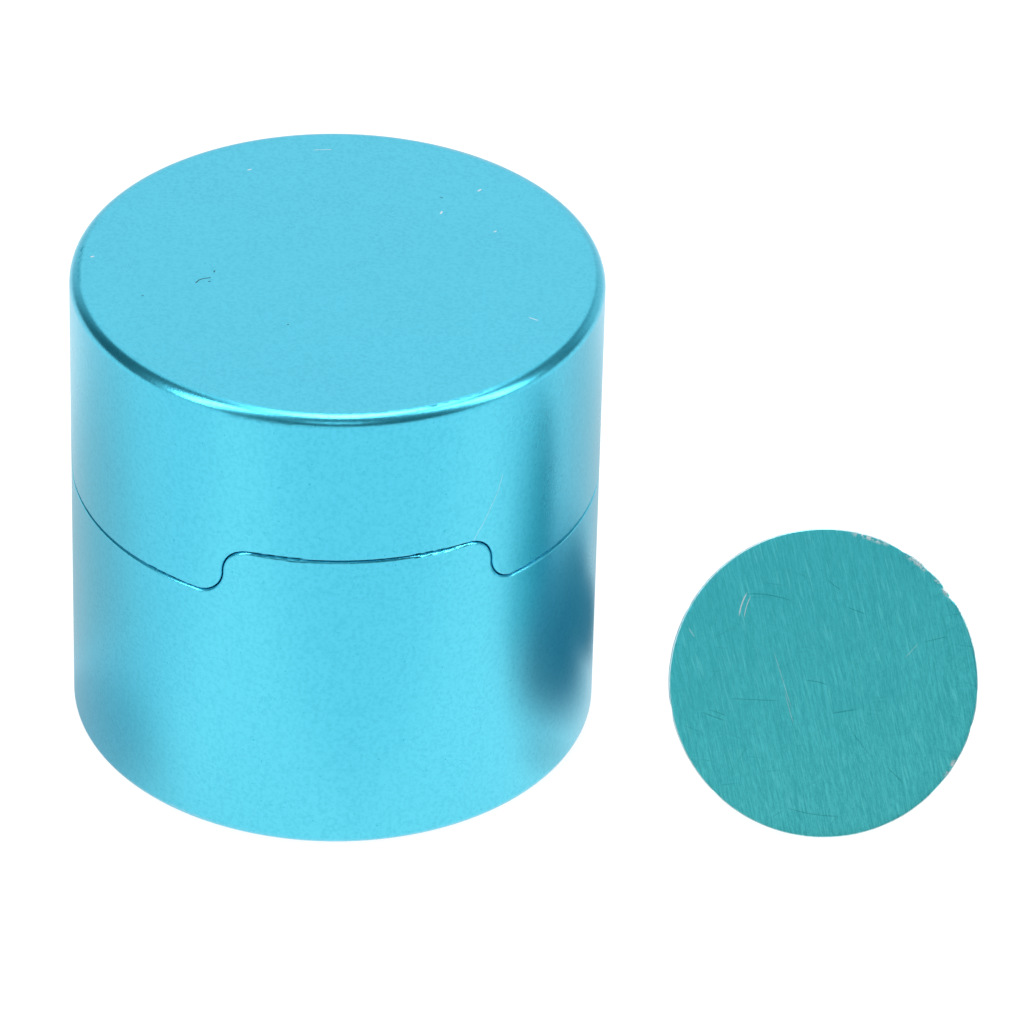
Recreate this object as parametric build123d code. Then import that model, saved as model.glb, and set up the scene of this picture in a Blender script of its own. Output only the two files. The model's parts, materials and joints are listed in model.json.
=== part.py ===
"""Pocket pill crusher, millimetres, +Z up, origin on the crusher's axis at its resting face.

A round crusher in two halves.  Three lugs on the base's rim key into three pockets in the lid's rim,
a plunger under the lid runs in a steel sleeve in the base, and two ridged steel plates crush the
pill between them.  Three pairs of magnets hold the halves shut.  A loose brushed disc, which drops
into the sleeve, stands beside the crusher on its edge, leaning back.
"""
import math
import os

from build123d import *

# --- the two halves ---------------------------------------------------------------------------
body_radius = 20.0
total_height = 38.6
top_round = 0.9             # rounding of the lid's upper edge
foot_round = 0.8            # rounding of the base's lower edge
seam_low = 21.6             # height of the base's rim between its lugs
seam_high = 26.0            # height of the lugs' tops
seam_gap = 0.06             # clearance between the halves all along the seam
seam_round = 0.2             # rounded outer edge of each half along the seam
lug_round = 2.15            # a lug's rounded shoulders and the rounded roots beside it
lug_count = 3
lug_width_deg = 60.0        # as wide as the space between two lugs
first_lug_deg = -84.4       # direction of the first lug's middle, from +X towards +Y

# --- crushing chamber -------------------------------------------------------------------------
floor_height = 9.0          # top of the base's solid floor
sleeve_bore = 12.0          # inner radius of the chamber
sleeve_radius = 13.99
base_bore = 14.0
sleeve_top = 30.0
sleeve_lead_in = 0.6
lid_bore = 14.15
lid_ceiling = 30.3          # underside of the lid's solid top
plunger_radius = 11.9
plate_radius = 11.9
plate_thickness = 2.0
plate_edge = 0.3
ridge_count = 12
ridge_height = 1.2
ridge_width = 2.0
ridge_inner, ridge_outer = 4.3, 11.2
crush_gap = 0.4             # from a ridge's tip to the valley it points into

# --- fasteners, seal and magnets --------------------------------------------------------------
screw_radius = 1.92
screw_head_radius = 3.57
screw_tip = 0.3
countersink_radius = 3.6
tapped_hole = 2.0
clearance_hole = 2.15
hex_socket_flats = 2.5
hex_socket_depth = 1.2
lower_screw_length = 8.0
upper_screw_length = 22.0
hole_run_out = 0.5          # how far a blind hole goes past its screw or pin
dowel_radius = 1.0
dowel_clearance = 0.01
dowel_place = 8.0           # distance of the dowels from the axis
dowel_in_plate = 1.4
lower_dowel_length = 4.5
upper_dowel_length = 20.0
ring_radius = 11.2          # O-ring, to the middle of its cord
ring_cord_radius = 0.75
ring_groove_width = 1.9
ring_height = 24.0
magnet_radius = 1.98
magnet_pocket = 2.0
magnet_thickness = 2.5
magnet_recess = 0.05
magnet_edge = 0.15
magnet_place = 17.1         # distance of the magnets from the axis

# --- loose disc -------------------------------------------------------------------------------
disc_diameter = 23.4
disc_thickness = 1.0
disc_edge = 0.08
disc_lean_deg = 34.34       # how far it leans back from upright
disc_x = 36.98              # middle of the disc, along X
disc_foot_y = -18.3         # where its rear lower edge touches the table

lower_valley = floor_height + plate_thickness
upper_valley = lower_valley + crush_gap + ridge_height
plunger_bottom = upper_valley + plate_thickness
lug_pitch = 360.0 / lug_count
over = 1.0                  # how far a cutter runs past what it cuts
near = 1e-3                 # lengths closer than this count as equal


def half_profile(low, high, low_round, high_round, radius):
    """Outline of a solid cylinder from the axis outwards, with rounded edges where asked."""
    outline = [Line((0, low), (radius - low_round, low))]
    if low_round:
        outline.append(RadiusArc((radius - low_round, low), (radius, low + low_round), -low_round))
    outline.append(Line((radius, low + low_round), (radius, high - high_round)))
    if high_round:
        outline.append(RadiusArc((radius, high - high_round), (radius - high_round, high), -high_round))
    outline.append(Line((radius - high_round, high), (0, high)))
    outline.append(Line((0, high), (0, low)))
    return outline


def turned(low, high, low_round=0.0, high_round=0.0, radius=body_radius):
    """A turned solid cylinder between two heights.

    Its surface starts and ends behind a lug's middle, where no rounding of the lugs crosses it.
    """
    face = make_face(Plane.XZ * Wire(half_profile(low, high, low_round, high_round, radius)))
    return Rot(0, 0, first_lug_deg) * revolve(face, axis=Axis.Z)


def rod(radius, low, high, x=0.0, y=0.0):
    """A plain cylinder between two heights."""
    upright = Cylinder(radius, high - low, align=(Align.CENTER, Align.CENTER, Align.MIN))
    return Pos(x, y, low) * Rot(0, 0, first_lug_deg) * upright


def tube(outer, inner, low, high):
    return rod(outer, low, high) - rod(inner, low - over, high + over)


def around(radius, direction_deg):
    """The point at that radius and direction from the axis."""
    turn = math.radians(direction_deg)
    return radius * math.cos(turn), radius * math.sin(turn)


def level_lines(part, height):
    """The straight edges of a part that lie at one height."""
    return [
        edge
        for edge in part.edges().filter_by(GeomType.LINE)
        if abs(edge.center().Z - height) < near and abs((edge @ 0).Z - (edge @ 1).Z) < near
    ]


def wedge(direction_deg, width_deg, spread, low, high):
    """A pie slice whose two sides are moved outwards by spread, parallel to themselves."""
    half = math.radians(width_deg / 2)
    tip = -spread / math.sin(half)
    reach = 2 * body_radius
    side = reach * math.tan(half)
    slice_face = make_face(Polyline((tip, 0), (tip + reach, -side), (tip + reach, side), close=True))
    return Pos(0, 0, low) * Rot(0, 0, direction_deg) * extrude(slice_face, high - low)


def lug_directions():
    return [first_lug_deg + lug_pitch * i for i in range(lug_count)]


def gap_directions():
    return [direction + lug_pitch / 2 for direction in lug_directions()]


def seam_edges(part, low, high):
    """The outer edges of a part that lie along the seam between two heights."""
    found = []
    for edge in part.edges():
        ends = [edge @ 0, edge @ 0.5, edge @ 1]
        outside = all(abs(math.hypot(p.X, p.Y) - body_radius) < near for p in ends)
        if outside and all(low - near < p.Z < high + near for p in ends):
            found.append(edge)
    return found


# --- the two halves ---------------------------------------------------------------------------
def magnet_pockets(low):
    return [
        rod(magnet_pocket, low, low + magnet_thickness + magnet_recess, *around(magnet_place, direction))
        for direction in gap_directions()
    ]


def base_body():
    cup = turned(0, seam_high, low_round=foot_round)
    cup -= rod(base_bore, floor_height, seam_high + over)
    for direction in gap_directions():
        cup -= wedge(direction, lug_width_deg, 0, seam_low, seam_high + over)
    cup = fillet(level_lines(cup, seam_low), lug_round)
    cup = fillet(level_lines(cup, seam_high), lug_round)
    cup = fillet(seam_edges(cup, seam_low, seam_high), seam_round)
    for pocket in magnet_pockets(seam_low - magnet_thickness - magnet_recess):
        cup -= pocket
    cup -= rod(tapped_hole, lower_valley - lower_screw_length - hole_run_out, floor_height + over)
    dowel_low = floor_height + dowel_in_plate - lower_dowel_length
    cup -= rod(dowel_radius + dowel_clearance, dowel_low, floor_height + over, dowel_place)
    return cup


def lid_body():
    low, high = seam_low + seam_gap, seam_high + seam_gap
    cap = turned(low, total_height, high_round=top_round)
    cap -= rod(lid_bore, low - over, lid_ceiling)
    for direction in lug_directions():
        cap -= wedge(direction, lug_width_deg, seam_gap, low - over, high)
    cap = fillet(level_lines(cap, high), lug_round + seam_gap)
    cap = fillet(level_lines(cap, low), lug_round - seam_gap)
    cap = fillet(seam_edges(cap, low, high), seam_round)
    for pocket in magnet_pockets(low):
        cap -= pocket
    cap -= rod(tapped_hole, lid_ceiling - over, upper_valley + upper_screw_length + hole_run_out)
    dowel_top = plunger_bottom - dowel_in_plate + upper_dowel_length
    cap -= rod(dowel_radius + dowel_clearance, lid_ceiling - over, dowel_top, dowel_place)
    return cap


# --- chamber ----------------------------------------------------------------------------------
def chamber_sleeve():
    sleeve = tube(sleeve_radius, sleeve_bore, floor_height, sleeve_top)
    rim = [edge for edge in sleeve.edges() if abs(edge.center().Z - sleeve_top) < near]
    return chamfer(rim, sleeve_lead_in)


def plunger():
    core = rod(plunger_radius, plunger_bottom, lid_ceiling)
    groove_low, groove_high = ring_height - ring_groove_width / 2, ring_height + ring_groove_width / 2
    core -= tube(plunger_radius + over, ring_radius - ring_cord_radius, groove_low, groove_high)
    core -= rod(clearance_hole, plunger_bottom - over, lid_ceiling + over)
    core -= rod(dowel_radius + dowel_clearance, plunger_bottom - over, lid_ceiling + over, dowel_place)
    return core


def crush_plate():
    """A ridged plate lying with its ridges up and its back at height 0."""
    plate = rod(plate_radius, 0, plate_thickness)
    rims = [e for e in plate.edges().filter_by(GeomType.CIRCLE) if e.center().Z > plate_thickness / 2]
    plate = chamfer(rims, plate_edge)
    half = ridge_width / 2
    section = make_face(Polyline((-half, 0), (half, 0), (0, ridge_height), close=True))
    ridge = extrude(Plane.YZ.offset(ridge_inner) * section, ridge_outer - ridge_inner)
    for i in range(ridge_count):
        plate += Rot(0, 0, i * 360.0 / ridge_count) * Pos(0, 0, plate_thickness) * ridge
    plate -= rod(clearance_hole, -over, plate_thickness + over)
    cone_height = countersink_radius - clearance_hole
    plate -= Pos(0, 0, plate_thickness - cone_height) * Cone(
        clearance_hole, countersink_radius, cone_height, align=(Align.CENTER, Align.CENTER, Align.MIN)
    )
    return plate


def dowel_seat(low, high, plate):
    return plate - rod(dowel_radius + dowel_clearance, low, high, dowel_place)


def lower_crush_plate():
    plate = Pos(0, 0, floor_height) * crush_plate()
    return dowel_seat(floor_height - over, floor_height + dowel_in_plate, plate)


def upper_crush_plate():
    """The same plate turned face down, half a ridge further round, so that the ridges interleave."""
    half_pitch = 180.0 / ridge_count
    plate = Pos(0, 0, plunger_bottom) * Rot(180, 0, 0) * Rot(0, 0, half_pitch) * crush_plate()
    return dowel_seat(plunger_bottom - dowel_in_plate, plunger_bottom + over, plate)


# --- fasteners, seal and magnets --------------------------------------------------------------
def countersunk_screw(length):
    """A screw with its flat head up at height 0, pointing down."""
    head_height = screw_head_radius - screw_radius
    outline = Polyline(
        (0, 0),
        (screw_head_radius, 0),
        (screw_radius, -head_height),
        (screw_radius, screw_tip - length),
        (screw_radius - screw_tip, -length),
        (0, -length),
        close=True,
    )
    screw = revolve(make_face(Plane.XZ * outline), axis=Axis.Z)
    socket = RegularPolygon(hex_socket_flats / 2, 6, major_radius=False)
    return screw - Pos(0, 0, -hex_socket_depth) * extrude(socket, hex_socket_depth + over)


def lower_plate_screw():
    return Pos(0, 0, lower_valley) * countersunk_screw(lower_screw_length)


def upper_plate_screw():
    return Pos(0, 0, upper_valley) * Rot(180, 0, 0) * countersunk_screw(upper_screw_length)


def lower_dowel_pin():
    top = floor_height + dowel_in_plate
    return rod(dowel_radius, top - lower_dowel_length, top, dowel_place)


def upper_dowel_pin():
    low = plunger_bottom - dowel_in_plate
    return rod(dowel_radius, low, low + upper_dowel_length, dowel_place)


def plunger_o_ring():
    return Pos(0, 0, ring_height) * Torus(ring_radius, ring_cord_radius)


def magnet(low, direction):
    slug = rod(magnet_radius, low, low + magnet_thickness, *around(magnet_place, direction))
    return chamfer(slug.edges().filter_by(GeomType.CIRCLE), magnet_edge)


# --- loose disc -------------------------------------------------------------------------------
def loose_disc():
    """Leaning back on the rear edge of its rim, face towards -Y and upwards."""
    disc = Cylinder(disc_diameter / 2, disc_thickness, align=(Align.CENTER, Align.MIN, Align.MIN))
    disc = chamfer(disc.edges().filter_by(GeomType.CIRCLE), disc_edge)
    leaning = Rot(90 - disc_lean_deg, 0, 0) * disc
    lowest = leaning.bounding_box().min
    return Pos(disc_x, disc_foot_y, -lowest.Z) * leaning


def build():
    nodes = {
        "base_body": base_body(),
        "lid_body": lid_body(),
        "chamber_sleeve": chamber_sleeve(),
        "plunger": plunger(),
        "lower_crush_plate": lower_crush_plate(),
        "upper_crush_plate": upper_crush_plate(),
        "lower_plate_screw": lower_plate_screw(),
        "upper_plate_screw": upper_plate_screw(),
        "lower_dowel_pin": lower_dowel_pin(),
        "upper_dowel_pin": upper_dowel_pin(),
        "plunger_o_ring": plunger_o_ring(),
        "loose_disc": loose_disc(),
    }
    base_low = seam_low - magnet_thickness - magnet_recess
    lid_low = seam_low + seam_gap + magnet_recess
    for i, direction in enumerate(gap_directions(), start=1):
        nodes[f"base_magnet_{i}"] = magnet(base_low, direction)
        nodes[f"lid_magnet_{i}"] = magnet(lid_low, direction)
    return nodes


os.makedirs("parts", exist_ok=True)
for name, solid in build().items():
    export_step(solid, f"parts/{name}.step")
    print(f"{name:20s} {solid.volume:10.1f} mm3")
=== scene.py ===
import json
import math

import bmesh
import bpy
from mathutils import Matrix, Vector, noise

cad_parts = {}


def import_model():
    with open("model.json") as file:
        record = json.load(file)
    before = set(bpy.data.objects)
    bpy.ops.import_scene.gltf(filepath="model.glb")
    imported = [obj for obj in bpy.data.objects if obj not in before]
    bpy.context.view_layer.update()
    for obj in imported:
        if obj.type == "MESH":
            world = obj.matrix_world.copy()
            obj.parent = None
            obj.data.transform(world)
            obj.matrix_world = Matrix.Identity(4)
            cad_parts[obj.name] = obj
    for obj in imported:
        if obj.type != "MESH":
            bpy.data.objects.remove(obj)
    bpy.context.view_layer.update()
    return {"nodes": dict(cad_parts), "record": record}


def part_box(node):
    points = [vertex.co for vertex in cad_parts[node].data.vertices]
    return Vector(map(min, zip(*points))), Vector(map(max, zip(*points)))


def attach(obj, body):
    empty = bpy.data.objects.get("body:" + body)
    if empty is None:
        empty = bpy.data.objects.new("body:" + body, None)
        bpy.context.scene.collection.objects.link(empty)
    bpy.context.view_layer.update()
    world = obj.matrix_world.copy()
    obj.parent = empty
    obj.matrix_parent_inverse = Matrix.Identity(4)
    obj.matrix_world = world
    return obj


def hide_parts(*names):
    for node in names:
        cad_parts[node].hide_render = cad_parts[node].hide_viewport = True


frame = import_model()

nodes = frame["nodes"]
mm = 0.001
body_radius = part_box("base_body")[1].x
top_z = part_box("lid_body")[1].z
disc_low, disc_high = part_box("loose_disc")
disc_radius = (disc_high.x - disc_low.x) / 2
disc_thickness = 1.0 * mm
disc_lean = math.radians(34.34)


# --- shader helpers ---------------------------------------------------------------------------
class Nodes:
    """A node tree, with short calls for the nodes that the materials and the studio below use."""

    def __init__(self, tree, coordinates):
        self.tree = tree
        self.coords = tree.nodes.new("ShaderNodeTexCoord").outputs[coordinates]

    def add(self, kind, inputs, output=0, **settings):
        """Adds a node, fills or links its inputs and gives one output, or several for a slice."""
        node = self.tree.nodes.new(kind)
        for key, value in settings.items():
            setattr(node, key, value)
        for key, value in inputs.items():
            if isinstance(value, bpy.types.NodeSocket):
                self.tree.links.new(value, node.inputs[key])
            else:
                node.inputs[key].default_value = value
        return node.outputs[output]

    def math(self, operation, a, b=0.0, clamp=False):
        return self.add("ShaderNodeMath", {0: a, 1: b}, operation=operation, use_clamp=clamp)

    def vector(self, operation, a, b=(0, 0, 0), output=0):
        return self.add("ShaderNodeVectorMath", {0: a, 1: b}, output, operation=operation)

    def placed(self, turn=(0, 0, 0), scale=(1, 1, 1), coords=None):
        """Object coordinates turned, then stretched."""
        turned = self.add("ShaderNodeMapping", {"Vector": coords or self.coords, "Rotation": turn})
        return self.vector("MULTIPLY", turned, scale)

    def noise(self, size, coords=None, detail=2.0, roughness=0.5):
        """Noise from 0 to 1 whose features are about size metres across."""
        inputs = {
            "Vector": coords or self.coords,
            "Scale": 1 / size,
            "Detail": detail,
            "Roughness": roughness,
        }
        return self.add("ShaderNodeTexNoise", inputs)

    def ramp(self, value, low, high, to_low=0.0, to_high=1.0):
        """A smooth step of value from low to high."""
        inputs = {"Value": value, "From Min": low, "From Max": high, "To Min": to_low, "To Max": to_high}
        return self.add("ShaderNodeMapRange", inputs, interpolation_type="SMOOTHSTEP")

    def mix(self, factor, a, b):
        return self.add("ShaderNodeMix", {0: factor, 6: a, 7: b}, 2, data_type="RGBA")

    def stroke(self, start, end, width):
        """1 on a straight mark between two points, 0 a little beyond its width."""
        a, b = Vector(start), Vector(end)
        along = b - a
        offset = self.vector("SUBTRACT", self.coords, a)
        length = self.vector("DOT_PRODUCT", offset, along / along.length_squared, output=1)
        share = self.math("MULTIPLY", length, 1.0, clamp=True)
        foot = self.add("ShaderNodeVectorMath", {0: along, "Scale": share}, operation="SCALE")
        distance = self.vector("DISTANCE", offset, foot, output=1)
        return self.ramp(distance, width * 0.2, width * 0.6, 1.0, 0.0)

    def scratch(self, middle, heading_deg, length, width, bend=0.0):
        """1 on a scratch in the local XY plane. bend is how far its middle bulges, in parts of its length."""
        heading = math.radians(heading_deg)
        side = Vector((-math.sin(heading), math.cos(heading), 0))
        radius = length / (8 * bend) if bend else length * 50
        centre = Vector(middle) + side * radius
        flat = self.vector("MULTIPLY", self.coords, (1, 1, 0))
        off = self.math("SUBTRACT", self.vector("DISTANCE", flat, centre, 1), abs(radius))
        line = self.ramp(self.math("ABSOLUTE", off), width * 0.15, width * 0.55, 1.0, 0.0)
        away = self.vector("DISTANCE", flat, Vector(middle), 1)
        reach = self.ramp(away, length * 0.25, length * 0.5, 1.0, 0.0)
        return self.math("MULTIPLY", line, reach)

    def most(self, values):
        """The largest of several masks."""
        result = values[0]
        for value in values[1:]:
            result = self.math("MAXIMUM", result, value)
        return result

    def bump(self, height, distance):
        return self.add("ShaderNodeBump", {"Height": height, "Distance": distance, "Strength": 1.0})


class Shader(Nodes):
    """One material and its Principled shader."""

    def __init__(self, name):
        self.material = bpy.data.materials.new(name)
        self.material.use_nodes = True
        super().__init__(self.material.node_tree, "Object")
        self.surface = self.tree.nodes["Principled BSDF"]

    def set(self, **values):
        """Sets or links the Principled shader's inputs, named with underscores."""
        for key, value in values.items():
            socket = self.surface.inputs[key.replace("_", " ")]
            if isinstance(value, bpy.types.NodeSocket):
                self.tree.links.new(value, socket)
            else:
                socket.default_value = value


# --- materials --------------------------------------------------------------------------------
blue_dye = (0.086, 0.56, 0.745, 1)
blue_dye_light = (0.105, 0.62, 0.80, 1)
blue_dye_dark = (0.02, 0.36, 0.52, 1)
bare_metal = (0.78, 0.80, 0.82, 1)
fibre_dark = (0.004, 0.05, 0.08, 1)
teal_dye = (0.086, 0.585, 0.65, 1)
# painted light: a lighter copy of the teal for the disc's painted lit side
teal_painted_lit = (0.14, 0.745, 0.76, 1)
teal_dye_dark = (0.054, 0.45, 0.50, 1)
teal_shine = (0.22, 0.85, 0.86, 1)
teal_scratch = (0.02, 0.22, 0.26, 1)


def on_top(x, y):
    """A point of the flat top, given in millimetres."""
    return Vector((x * mm, y * mm, top_z))


def on_side(turn_deg, height):
    """A point of the outer wall, given in degrees from the front towards +X and in millimetres."""
    turn = math.radians(turn_deg)
    return Vector((body_radius * math.sin(turn), -body_radius * math.cos(turn), height * mm))


dust_glints = [
    (on_top(7.72, 8.10), on_top(7.80, 8.35), 0.17 * mm),
    (on_top(10.58, 11.35), on_top(10.76, 11.55), 0.17 * mm),
    (on_top(-6.90, 13.95), on_top(-6.70, 14.05), 0.14 * mm),
    (on_top(-18.40, 1.45), on_top(-18.25, 1.54), 0.16 * mm),
    (on_top(14.20, -6.15), on_top(14.80, -6.50), 0.08 * mm),
    (on_top(11.72, 5.60), on_top(11.86, 5.72), 0.13 * mm),
    (on_top(-1.90, 16.95), on_top(-0.60, 17.05), 0.06 * mm),
]
side_scratch = [
    (on_side(30.6, 26.07), on_side(33.5, 27.68)),
    (on_side(33.5, 27.68), on_side(36.7, 29.75)),
    (on_side(36.7, 29.75), on_side(37.9, 31.09)),
]
dust_fibre = [
    (on_top(-10.52, -1.93), on_top(-10.30, -1.55)),
    (on_top(-10.30, -1.55), on_top(-10.01, -1.37)),
    (on_top(-10.01, -1.37), on_top(-9.49, -1.22)),
    (on_top(-9.20, -0.45), on_top(-9.18, -0.25)),
    (on_top(-9.60, -1.75), on_top(-9.48, -1.72)),
    (on_top(7.74, 10.32), on_top(7.84, 10.36)),
    (on_top(-3.65, -7.48), on_top(-3.59, -7.46)),
    (on_top(-14.45, -3.80), on_top(-14.40, -3.78)),
]


def anodised_body():
    """Bead-blasted aluminium under a clear, dyed oxide layer: even grain, small pits, few marks."""
    s = Shader("bead_blasted_anodised")
    grain = s.noise(0.16 * mm, detail=2.0, roughness=0.6)
    mottle = s.noise(0.30 * mm, detail=2.0, roughness=0.7)
    drift = s.noise(6 * mm, detail=3.0)
    pits = s.ramp(s.noise(0.20 * mm, detail=0.0), 0.21, 0.13)
    glints = [s.stroke(start, end, width) for start, end, width in dust_glints]
    specks = [s.stroke(start, end, 0.13 * mm) for start, end in dust_fibre]
    colour = s.mix(s.ramp(drift, 0.3, 0.7, 0.0, 0.12), blue_dye, blue_dye_light)
    colour = s.mix(s.ramp(mottle, 0.62, 0.30, 0.0, 0.28), colour, blue_dye_dark)
    colour = s.mix(s.math("MULTIPLY", pits, 0.7), colour, blue_dye_dark)
    colour = s.mix(s.math("MULTIPLY", s.most(specks), 0.9), colour, fibre_dark)
    faint = s.most([s.stroke(start, end, 0.08 * mm) for start, end in side_scratch])
    colour = s.mix(s.math("MULTIPLY", faint, 0.22), colour, bare_metal)
    colour = s.mix(s.math("MULTIPLY", s.most(glints), 0.75), colour, bare_metal)
    s.set(
        Base_Color=colour,
        Metallic=1.0,
        Roughness=s.ramp(drift, 0.3, 0.7, 0.27, 0.30),
        Coat_Weight=0.15,
        Coat_Roughness=0.36,
        Coat_IOR=1.5,
        Normal=s.bump(grain, 0.008 * mm),
    )
    return s.material


def disc_brushed(radius):
    """Anodised sheet, brushed a little off its own Y, then scratched in use and worn bare at the rim."""
    s = Shader("disc_brushed_teal")
    warp = s.noise(5 * mm, detail=1.0)
    shift = s.vector("MULTIPLY", s.add("ShaderNodeCombineXYZ", {0: warp}), (0.25 * mm, 0, 0))
    bent = s.vector("ADD", s.coords, shift)

    def streaks(turn_deg, per_metre, detail, roughness=0.5):
        """Noise drawn out into brush strokes. per_metre is how fine they are across, along and deep."""
        coords = s.placed((0, 0, math.radians(turn_deg)), per_metre, bent)
        return s.noise(1.0, coords, detail, roughness)

    short = streaks(-13, (12000, 1400, 500), 2.0, 0.6)
    long = streaks(-11, (9000, 160, 500), 1.0)
    shiny = streaks(-15, (8000, 420, 500), 0.0)
    grain = s.noise(0.09 * mm, detail=2.0, roughness=0.7)
    drift = s.noise(3.2 * mm, detail=2.0)
    cross = [
        s.ramp(streaks(turn, (7000, 330, 300), 0.0), 0.79, 0.88)
        for turn in (60, 84, 97, 112, 36)
    ]
    dark_scratches = [
        s.scratch((-4.2 * mm, 6.6 * mm, 0), -8, 4.2 * mm, 0.10 * mm, -0.06),
        s.scratch((0.7 * mm, 7.4 * mm, 0), -38, 1.4 * mm, 0.09 * mm),
        s.scratch((2.4 * mm, 5.5 * mm, 0), -20, 1.8 * mm, 0.09 * mm),
        s.scratch((-0.5 * mm, 0.1 * mm, 0), -11, 2.0 * mm, 0.11 * mm, -0.05),
        s.scratch((-5.2 * mm, -1.3 * mm, 0), -2, 4.4 * mm, 0.09 * mm),
        s.scratch((-8.3 * mm, -2.6 * mm, 0), -20, 2.1 * mm, 0.12 * mm),
        s.scratch((-8.0 * mm, -2.3 * mm, 0), -19, 1.7 * mm, 0.08 * mm),
        s.scratch((1.6 * mm, -2.1 * mm, 0), 10, 2.1 * mm, 0.13 * mm),
        s.scratch((5.5 * mm, -6.9 * mm, 0), -43, 2.0 * mm, 0.10 * mm),
        s.scratch((-0.6 * mm, -9.9 * mm, 0), -8, 4.8 * mm, 0.09 * mm, 0.05),
        s.scratch((8.4 * mm, 3.4 * mm, 0), 14, 2.3 * mm, 0.08 * mm),
        s.scratch((2.9 * mm, -4.6 * mm, 0), -52, 3.0 * mm, 0.07 * mm),
    ]
    white_scratches = [
        s.scratch((-6.25 * mm, 5.9 * mm, 0), 72, 2.1 * mm, 0.13 * mm, -0.06),
        s.scratch((-5.9 * mm, 5.7 * mm, 0), 74, 1.9 * mm, 0.07 * mm, -0.05),
    ]
    light_scratches = [
        s.scratch((-3.1 * mm, 0.2 * mm, 0), -72, 5.2 * mm, 0.07 * mm),
        s.scratch((-2.6 * mm, -1.9 * mm, 0), -74, 2.8 * mm, 0.08 * mm),
        s.scratch((6.6 * mm, 2.5 * mm, 0), 48, 1.6 * mm, 0.07 * mm),
        s.scratch((-10.0 * mm, 3.7 * mm, 0), -55, 0.9 * mm, 0.10 * mm),
    ]
    dark = s.math("MAXIMUM", s.most(dark_scratches), s.math("MULTIPLY", s.most(cross), 0.6))
    light = s.most(light_scratches)
    flat = s.vector("MULTIPLY", s.coords, (1, 1, 0))
    out = s.vector("LENGTH", flat, output=1)
    worn = s.ramp(s.noise(0.40 * mm, detail=3.0, roughness=0.7), 0.47, 0.60)
    lip = s.math("MULTIPLY", s.ramp(out, radius - 0.50 * mm, radius - 0.20 * mm), worn)
    corner = s.most([
        s.ramp(s.vector("DISTANCE", s.coords, spot, 1), reach * 0.4, reach, 0.95, 0.0)
        for spot, reach in (
            ((3.4 * mm, 11.0 * mm, 0), 1.9 * mm),
            ((7.0 * mm, 9.2 * mm, 0), 1.4 * mm),
            ((9.0 * mm, 7.3 * mm, 0), 1.9 * mm),
            ((9.6 * mm, -6.2 * mm, 0), 1.2 * mm),
        )
    ])
    edge = s.ramp(out, radius - 0.16 * mm, radius - 0.04 * mm, 0.0, 0.7)
    bare = s.math("MAXIMUM", s.math("MULTIPLY", lip, corner), edge)
    # painted light: the face is painted lighter towards its lower right, a lit side in its colour
    painted_lit_side = s.ramp(s.vector("DOT_PRODUCT", s.coords, (-0.35, 0.94, 0), 1), -radius, radius, 0.75, 0.0)
    tone = s.math("ADD", s.math("MULTIPLY", short, 0.45), s.math("MULTIPLY", long, 0.25))
    tone = s.math("ADD", tone, s.math("MULTIPLY", grain, 0.30))
    colour = s.mix(painted_lit_side, teal_dye, teal_painted_lit)
    colour = s.mix(s.ramp(drift, 0.40, 0.72, 0.0, 0.16), colour, teal_dye_dark)
    colour = s.mix(s.ramp(tone, 0.64, 0.36, 0.0, 0.9), colour, teal_dye_dark)
    colour = s.mix(s.ramp(shiny, 0.64, 0.80, 0.0, 0.26), colour, teal_shine)
    colour = s.mix(s.math("MULTIPLY", dark, 0.5), colour, teal_scratch)
    colour = s.mix(s.math("MULTIPLY", light, 0.32), colour, bare_metal)
    white = s.math("MULTIPLY", s.most(white_scratches), 0.8)
    colour = s.mix(s.math("MAXIMUM", white, bare), colour, bare_metal)
    s.set(
        Base_Color=colour,
        Metallic=1.0,
        Roughness=s.ramp(tone, 0.4, 0.6, 0.38, 0.44),
        Normal=s.bump(s.math("SUBTRACT", tone, s.math("MULTIPLY", dark, 0.3)), 0.006 * mm),
    )
    return s.material


def turned_metal(name, colour, roughness):
    """Metal turned on a lathe, with fine rings about the crusher's axis."""
    rings_per_metre = 12000.0
    s = Shader(name)
    radius = s.vector("LENGTH", s.placed(scale=(1, 1, 0)), output=1)
    across = s.add("ShaderNodeCombineXYZ", {0: s.math("MULTIPLY", radius, rings_per_metre)})
    rings = s.noise(1.0, across, detail=3.0)
    s.set(
        Base_Color=colour,
        Metallic=1.0,
        Roughness=s.ramp(rings, 0.3, 0.7, roughness - 0.06, roughness + 0.06),
        Normal=s.bump(rings, 0.003 * mm),
    )
    return s.material


def rubber():
    s = Shader("black_rubber")
    s.set(Base_Color=(0.02, 0.02, 0.02, 1), Roughness=0.55, Normal=s.bump(s.noise(0.1 * mm), 0.004 * mm))
    return s.material


finishes = {
    "anodised_body": anodised_body(),
    "brushed_disc": disc_brushed(disc_radius),
    "machined_steel": turned_metal("turned_steel", (0.56, 0.56, 0.55, 1), 0.32),
    "machined_aluminium": turned_metal("turned_aluminium", (0.60, 0.61, 0.63, 1), 0.30),
    "fastener_steel": turned_metal("fastener_steel", (0.45, 0.45, 0.45, 1), 0.30),
    "seal_rubber": rubber(),
    "nickel_magnet": turned_metal("nickel_plate", (0.70, 0.67, 0.62, 1), 0.18),
}
for subpart in frame["record"]["subparts"]:
    cad = nodes[subpart["node"]]
    cad.material_slots[0].material = finishes[subpart["material_slot"]]


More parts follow.
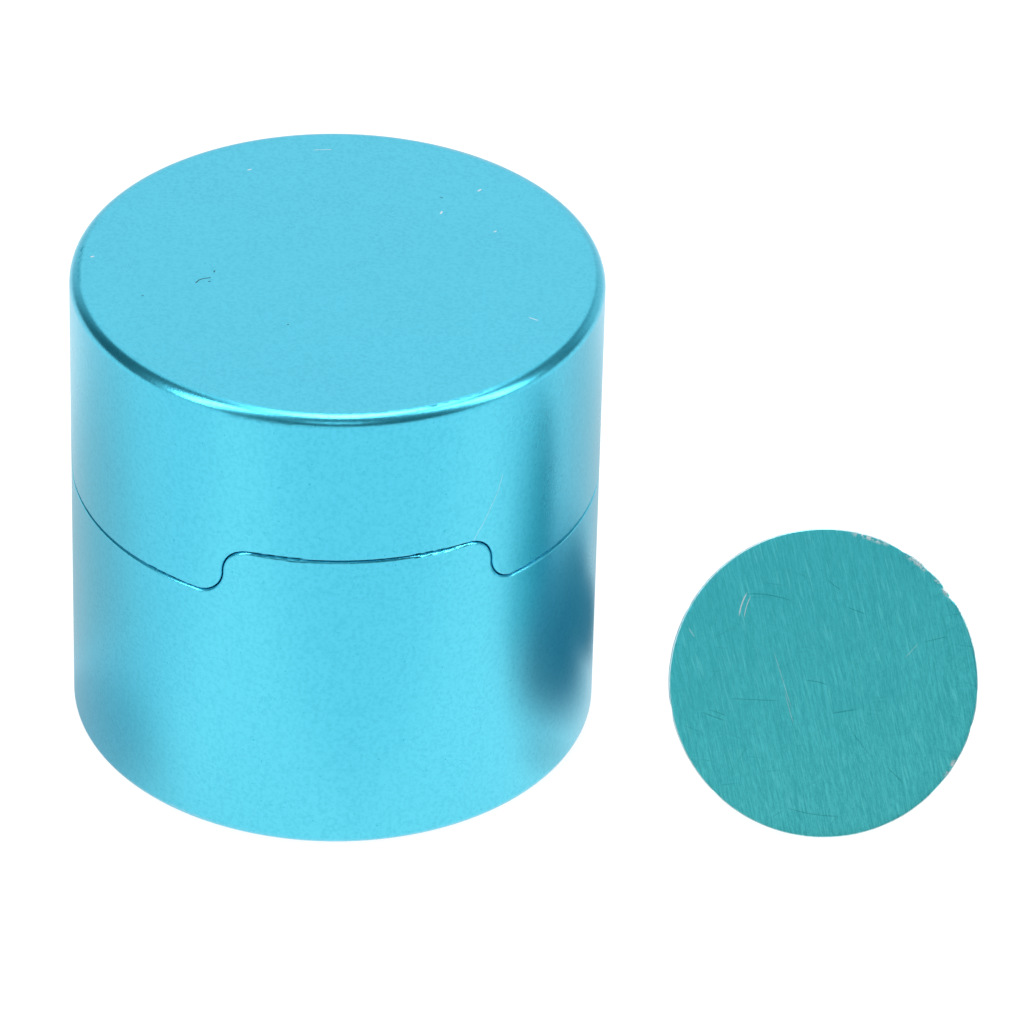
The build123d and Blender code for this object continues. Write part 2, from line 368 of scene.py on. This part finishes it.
# --- the loose disc ---------------------------------------------------------------------------
# dents in the disc's rim: direction in degrees from its own +X, half width in degrees, depth
rim_dents = [
    (34.0, 2.2, 0.16 * mm),
    (38.5, 1.4, 0.12 * mm),
    (48.0, 2.6, 0.08 * mm),
    (59.5, 1.8, 0.10 * mm),
    (64.5, 3.0, 0.06 * mm),
    (98.0, 14.0, 0.05 * mm),
    (151.0, 1.5, 0.06 * mm),
    (190.5, 2.4, 0.09 * mm),
    (226.0, 2.4, 0.05 * mm),
    (270.0, 20.0, 0.05 * mm),
    (318.0, 5.0, 0.05 * mm),
    (344.0, 1.8, 0.06 * mm),
]
# from the face over the rounded rim to the back: how far in from the edge, height above the middle
rim_profile = [(0.10, 0.500), (0.06, 0.495), (0.03, 0.48), (0.01, 0.45), (0.0, 0.40), (0.0, 0.0)]


def rim_inset(angle):
    """How far the disc's edge lies inside a true circle in one direction."""
    mean_inset, slow_waver, fine_waver = 0.02 * mm, 0.02 * mm, 0.012 * mm
    slow_rate, fine_rate, torn_rate, torn_share = 9, 60, 150, 0.4
    around = Vector((math.cos(angle), math.sin(angle), 0))
    inset = mean_inset + slow_waver * noise.noise(around * slow_rate)
    inset += fine_waver * noise.noise(around * fine_rate)
    for direction, half_width, depth in rim_dents:
        turn = (math.degrees(angle) - direction + 180) % 360 - 180
        torn = 1 + torn_share * noise.noise(around * torn_rate)
        inset += depth * math.exp(-((turn / half_width) ** 2)) * torn
    return inset


def loose_disc():
    """A stamped disc: uneven outline, rolled rim, dented edge and a very slightly wavy face."""
    steps, face_rings = 540, 22
    face_wave, waves_per_metre = 0.006 * mm, 260
    rolled_from = 0.9 * disc_radius
    lip_starts_at, lip_share = 0.05 * mm, 0.25
    half = disc_thickness / 2
    front = [(disc_radius * i / face_rings, half) for i in range(1, face_rings)]
    front += [(disc_radius - inset * mm, height * mm) for inset, height in rim_profile]
    back = [(r, -z) for r, z in reversed(front[:-1])]
    work = bmesh.new()
    rings = []
    for r, z in front + back:
        ring = []
        for step in range(steps):
            angle = 2 * math.pi * step / steps
            near_rim = max(0.0, (r - rolled_from) / (disc_radius - rolled_from))
            inset = rim_inset(angle)
            reach = r - inset * near_rim
            lip = math.copysign(lip_share * max(0.0, inset - lip_starts_at) * near_rim, z)
            x, y = reach * math.cos(angle), reach * math.sin(angle)
            wave = face_wave * noise.noise(Vector((x, y, z)) * waves_per_metre)
            ring.append(work.verts.new((x, y, z + wave + lip)))
        rings.append(ring)
    for inner, outer in zip(rings, rings[1:]):
        for i in range(steps):
            j = (i + 1) % steps
            work.faces.new((inner[i], outer[i], outer[j], inner[j]))
    for ring, z in ((rings[0], half), (rings[-1], -half)):
        middle = work.verts.new((0, 0, z))
        for i in range(steps):
            j = (i + 1) % steps
            work.faces.new((middle, ring[i], ring[j]))
    bmesh.ops.recalc_face_normals(work, faces=work.faces)
    mesh = bpy.data.meshes.new("scratched_disc")
    work.to_mesh(mesh)
    work.free()
    mesh.shade_smooth()
    disc = bpy.data.objects.new("scratched_disc", mesh)
    bpy.context.scene.collection.objects.link(disc)
    disc.rotation_euler.x = math.pi / 2 - disc_lean
    disc.location = (disc_low + disc_high) / 2
    mesh.materials.append(finishes["brushed_disc"])
    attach(disc, "disc")
    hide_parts("loose_disc")


loose_disc()


# --- stage ------------------------------------------------------------------------------------
room_radiance = 0.125
room_colour = (0.15, 1.0, 1.15, 1)
backdrop_radiance = 0.92
studio_white = (1.05, 1.0, 1.0, 1)
backdrop_half_width, backdrop_soft_edge = 0.20, 0.18
# dimmer wings on both sides of the sheet, low behind the crusher, and a little to the right
wing_radiance = 0.80
wing_direction = (0.14, 0.99, 0)
wing_outer, wing_inner = 0.42, 0.80
wing_low, wing_high = 0.40, 0.70
backdrop_direction = (0, 0.80, 0.60)
backdrop_outer, backdrop_inner = math.cos(math.radians(52)), math.cos(math.radians(24))
floor_glow = 0.925
# painted shadows on the floor, seen only in reflections: centre, half sizes, solid part of the way out, depth
# of the dark
painted_floor_shadows = [
    ((36 * mm, 2 * mm, 0), (13 * mm, 19 * mm, 1), 0.45, 0.97),
    ((33 * mm, -4 * mm, 0), (14 * mm, 17 * mm, 1), 0.40, 0.95),
    ((28 * mm, 7.5 * mm, 0), (9 * mm, 11 * mm, 1), 0.30, 0.93),
    ((20.5 * mm, -11 * mm, 0), (5 * mm, 5 * mm, 1), 0.10, 0.30),
    ((-20 * mm, -6 * mm, 0), (16 * mm, 16 * mm, 1), 0.30, 0.47),
    ((-30 * mm, 12 * mm, 0), (66 * mm, 37 * mm, 1), 0.20, 0.33),
    ((34 * mm, 24 * mm, 0), (66 * mm, 34 * mm, 1), 0.20, 0.28),
]
# painted pools of light on the floor below the two strip lights, seen only in reflections
painted_light_pools = [
    ((-7 * mm, -19 * mm, 0), (-60 * mm, -78 * mm, 0)),
    ((11 * mm, -17 * mm, 0), (80 * mm, -47 * mm, 0)),
]
pool_width = 34 * mm
pool_colour = (1.0, 0.45, 0.30, 1)
pool_glow = 0.36
# the first five painted shadows also glow deep blue, a painted blue reflection
tinted_shades = 5
painted_blue_reflection = (0.0, 0.17, 0.25, 1)


def flat_sheet(name, half_size, height, material):
    """A square on the stage, level at one height."""
    mesh = bpy.data.meshes.new(name)
    corners = [(-half_size, -half_size, 0), (half_size, -half_size, 0)]
    corners += [(half_size, half_size, 0), (-half_size, half_size, 0)]
    mesh.from_pydata(corners, [], [(0, 1, 2, 3)])
    mesh.materials.append(material)
    sheet = bpy.data.objects.new(name, mesh)
    sheet.location.z = height
    bpy.context.scene.collection.objects.link(sheet)
    return sheet


def floor():
    """A plain pale floor that glows, a hair below the crusher's foot."""
    s = Shader("floor_white")
    s.set(Base_Color=(0.15, 0.15, 0.15, 1), Roughness=0.9, Specular_IOR_Level=0.1)
    s.set(Emission_Color=(1, 1, 1, 1), Emission_Strength=floor_glow)
    flat_sheet("floor", 12.0, -0.05 * mm, s.material)


def shade_card():
    """A soft-edged card on the floor, seen only in reflections: painted shadows, some with a painted blue
    reflection, and two painted pools of light.
    """
    s = Shader("shade_card")
    shades = []
    for centre, reach, inner, depth in painted_floor_shadows:
        offset = s.vector("SUBTRACT", s.coords, Vector(centre))
        ratio = s.vector("LENGTH", s.vector("DIVIDE", offset, Vector(reach)), output=1)
        shades.append(s.ramp(ratio, inner, 1.0, depth, 0.0))
    pools = [s.stroke(start, end, pool_width) for start, end in painted_light_pools]
    shade = s.most(shades)
    clear = s.tree.nodes.new("ShaderNodeBsdfTransparent")
    # painted shadow: near-black where the patches lie
    dark = s.add("ShaderNodeBsdfDiffuse", {"Color": (0.01, 0.01, 0.01, 1)})
    tinted = s.most(shades[:tinted_shades])
    painted_blue_glow = s.add("ShaderNodeEmission", {"Color": painted_blue_reflection, "Strength": tinted})
    # painted light: a warm glow along the two tracks
    pooled = s.math("MULTIPLY", s.most(pools), pool_glow)
    painted_pool_light = s.add("ShaderNodeEmission", {"Color": pool_colour, "Strength": pooled})
    glow = s.add("ShaderNodeAddShader", {0: painted_blue_glow, 1: painted_pool_light})
    shaded = s.add("ShaderNodeMixShader", {0: shade, 1: clear.outputs[0], 2: dark})
    blend = s.add("ShaderNodeAddShader", {0: shaded, 1: glow})
    s.tree.links.new(blend, s.tree.nodes["Material Output"].inputs["Surface"])
    card = flat_sheet("shade_card", 80 * mm, 0.1 * mm, s.material)
    card.visible_camera = card.visible_diffuse = card.visible_shadow = False


def softbox(name, azimuth, elevation, distance, width, height, radiance):
    """A rectangular light that faces the crusher. Azimuth 0 is in front, 90 is on the +X side."""
    light = bpy.data.lights.new(name, "AREA")
    light.shape = "RECTANGLE"
    light.size, light.size_y = width, height
    light.energy = radiance * math.pi * width * height
    lamp = bpy.data.objects.new(name, light)
    a, e = math.radians(azimuth), math.radians(elevation)
    away = Vector((math.sin(a) * math.cos(e), -math.cos(a) * math.cos(e), math.sin(e)))
    lamp.location = Vector((0, 0, top_z / 2)) + distance * away
    lamp.rotation_euler = away.to_track_quat("Z", "Y").to_euler()
    lamp.visible_camera = False
    bpy.context.scene.collection.objects.link(lamp)


def world():
    """A dim room with a bright sheet hung behind the crusher, where its flat top looks."""
    studio = bpy.data.worlds.new("studio")
    bpy.context.scene.world = studio
    studio.use_nodes = True
    s = Nodes(studio.node_tree, "Generated")
    x, _, z = s.add("ShaderNodeSeparateXYZ", {0: s.coords}, slice(None))
    toward = s.vector("DOT_PRODUCT", s.coords, backdrop_direction, 1)
    fade = s.ramp(toward, backdrop_outer, backdrop_inner, 0.0, backdrop_radiance)
    sheet_edge = backdrop_half_width + backdrop_soft_edge
    narrow = s.ramp(s.math("ABSOLUTE", x), backdrop_half_width, sheet_edge, 1.0, 0.0)
    sheet = s.math("MULTIPLY", fade, narrow)
    backward = s.vector("DOT_PRODUCT", s.coords, wing_direction, 1)
    behind = s.ramp(backward, wing_outer, wing_inner, 0.0, wing_radiance)
    wings = s.math("MULTIPLY", behind, s.ramp(z, wing_high, wing_low))
    light = s.math("ADD", s.math("MAXIMUM", sheet, wings), room_radiance)
    background = s.tree.nodes["Background"]
    s.tree.links.new(light, background.inputs["Strength"])
    s.tree.links.new(s.mix(light, room_colour, studio_white), background.inputs["Color"])


def camera():
    """A long lens at the photograph's angle."""
    distance = 578.2 * mm
    elevation = math.radians(34.34)
    yaw, pitch, roll = math.radians(-1.332), math.radians(-0.195), math.radians(0.649)
    lens = bpy.data.cameras.new("camera")
    lens.sensor_width = 36
    lens.lens = 267.5
    lens.clip_start, lens.clip_end = 0.01, 20.0
    view = bpy.data.objects.new("camera", lens)
    back = Vector((0, -math.cos(elevation), math.sin(elevation)))
    aim = Matrix.Rotation(math.pi / 2 - elevation, 4, "X") @ Matrix.Rotation(yaw, 4, "Y")
    aim = aim @ Matrix.Rotation(pitch, 4, "X") @ Matrix.Rotation(roll, 4, "Z")
    view.matrix_world = Matrix.Translation(Vector((0, 0, top_z / 2)) + distance * back) @ aim
    bpy.context.scene.collection.objects.link(view)
    bpy.context.scene.camera = view


floor()
shade_card()
world()
softbox("left_strip", azimuth=-58, elevation=38, distance=0.6, width=0.11, height=0.62, radiance=10.0)
softbox("right_strip", azimuth=72, elevation=38, distance=0.6, width=0.11, height=0.62, radiance=10.0)
softbox("overhead_softbox", azimuth=155, elevation=84, distance=0.5, width=0.19, height=0.32, radiance=8.0)
softbox("front_fill", azimuth=0, elevation=34, distance=0.9, width=0.30, height=0.30, radiance=1.52)
camera()
bpy.context.scene.view_settings.view_transform = "Standard"
